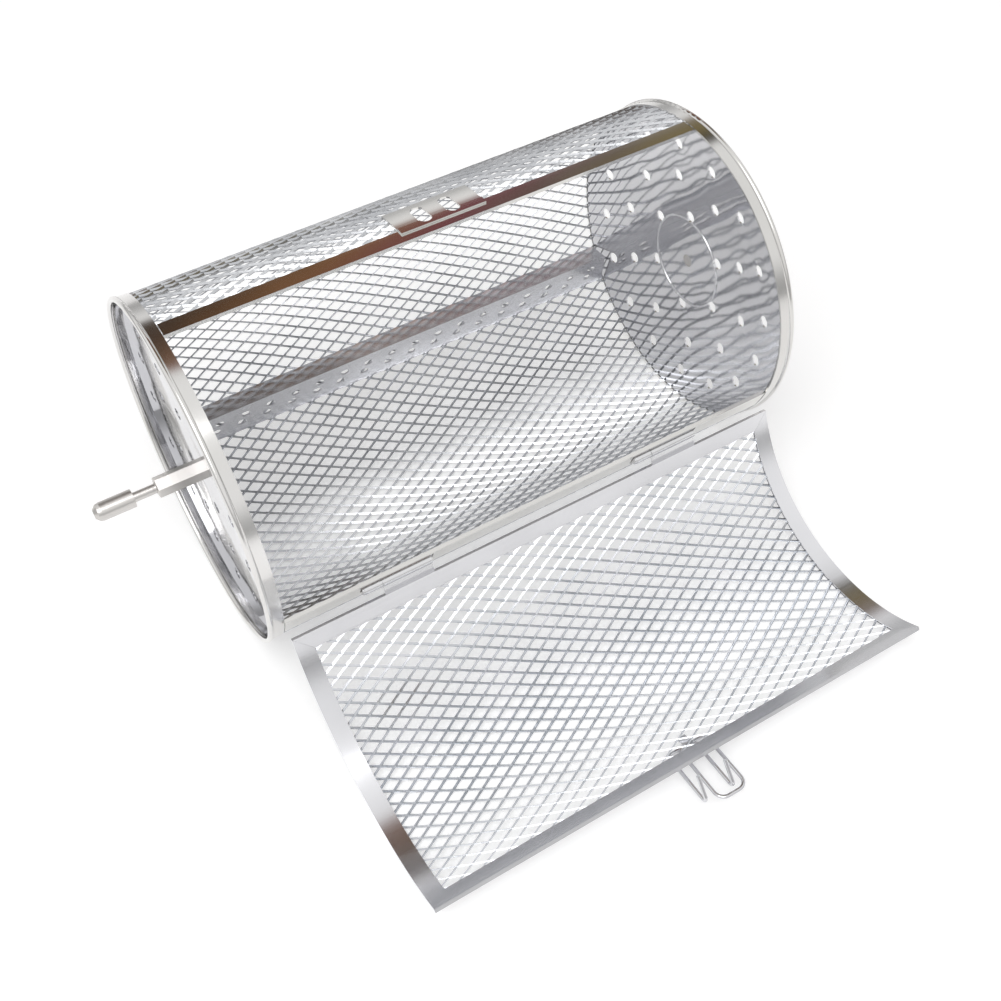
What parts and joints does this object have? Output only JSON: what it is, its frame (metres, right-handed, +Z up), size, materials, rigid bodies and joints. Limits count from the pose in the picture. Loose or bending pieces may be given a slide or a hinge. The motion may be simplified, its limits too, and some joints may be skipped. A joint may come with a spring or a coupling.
{
  "type": "rotating roasting drum",
  "caption": "Cylindrical expanded-mesh roasting drum with end discs, a hinged mesh door held by a wire latch, an inside baffle and a drive shaft.",
  "frame": {"origin": "on the drum's axis, at the shoulder behind the drive shaft's round tip", "axes": "+X runs along the drum from the drive shaft to the idle end, +Z is up with the door lying open on the -Y side, and the object rests on z = -0.06 m"},
  "size_m": [0.2475, 0.2226, 0.12],
  "materials": {
    "end_sheet": "bright pressed sheet",
    "rim_sheet": "bright rolled sheet",
    "drum_mesh_steel": "bright expanded mesh",
    "door_mesh_steel": "bright expanded mesh",
    "edge_strip": "bright folded strip",
    "baffle_sheet": "plain bent sheet",
    "turned_steel": "turned bar",
    "door_frame": "bright folded strip",
    "hinge_steel": "bright rolled sheet",
    "latch_steel": "bright wire"
  },
  "bodies": {
    "drum": {"drum_mesh": "drum_mesh_steel", "left_end_disc": "end_sheet", "right_end_disc": "end_sheet", "left_rim_band": "rim_sheet", "right_rim_band": "rim_sheet", "upper_strip": "edge_strip", "hinge_strip": "edge_strip", "latch_tab": "edge_strip", "agitator_baffle": "baffle_sheet", "drive_shaft": "turned_steel", "idle_pin": "turned_steel", "left_hinge_drum_leaf": "hinge_steel", "right_hinge_drum_leaf": "hinge_steel", "left_hinge_pin": "hinge_steel", "right_hinge_pin": "hinge_steel"},
    "door": {"door_mesh": "door_mesh_steel", "door_free_edge": "door_frame", "door_hinge_edge": "door_frame", "door_left_edge": "door_frame", "door_right_edge": "door_frame", "left_hinge_door_leaf": "hinge_steel", "right_hinge_door_leaf": "hinge_steel", "latch_bracket": "hinge_steel"},
    "latch": {"latch_wire": "latch_steel"}
  },
  "joints": [
    {"name": "door_hinge", "type": "hinge", "parent": "drum", "child": "door", "pos_m": [0.1168, -0.05653, -0.01947], "axis": [-1, 0, 0], "range_deg": [0, 142.69]},
    {"name": "latch_pivot", "type": "hinge", "parent": "door", "child": "latch", "pos_m": [0.1222, -0.14045, -0.05479], "axis": [-1, 0, 0], "range_deg": [-18, 20]}
  ]
}
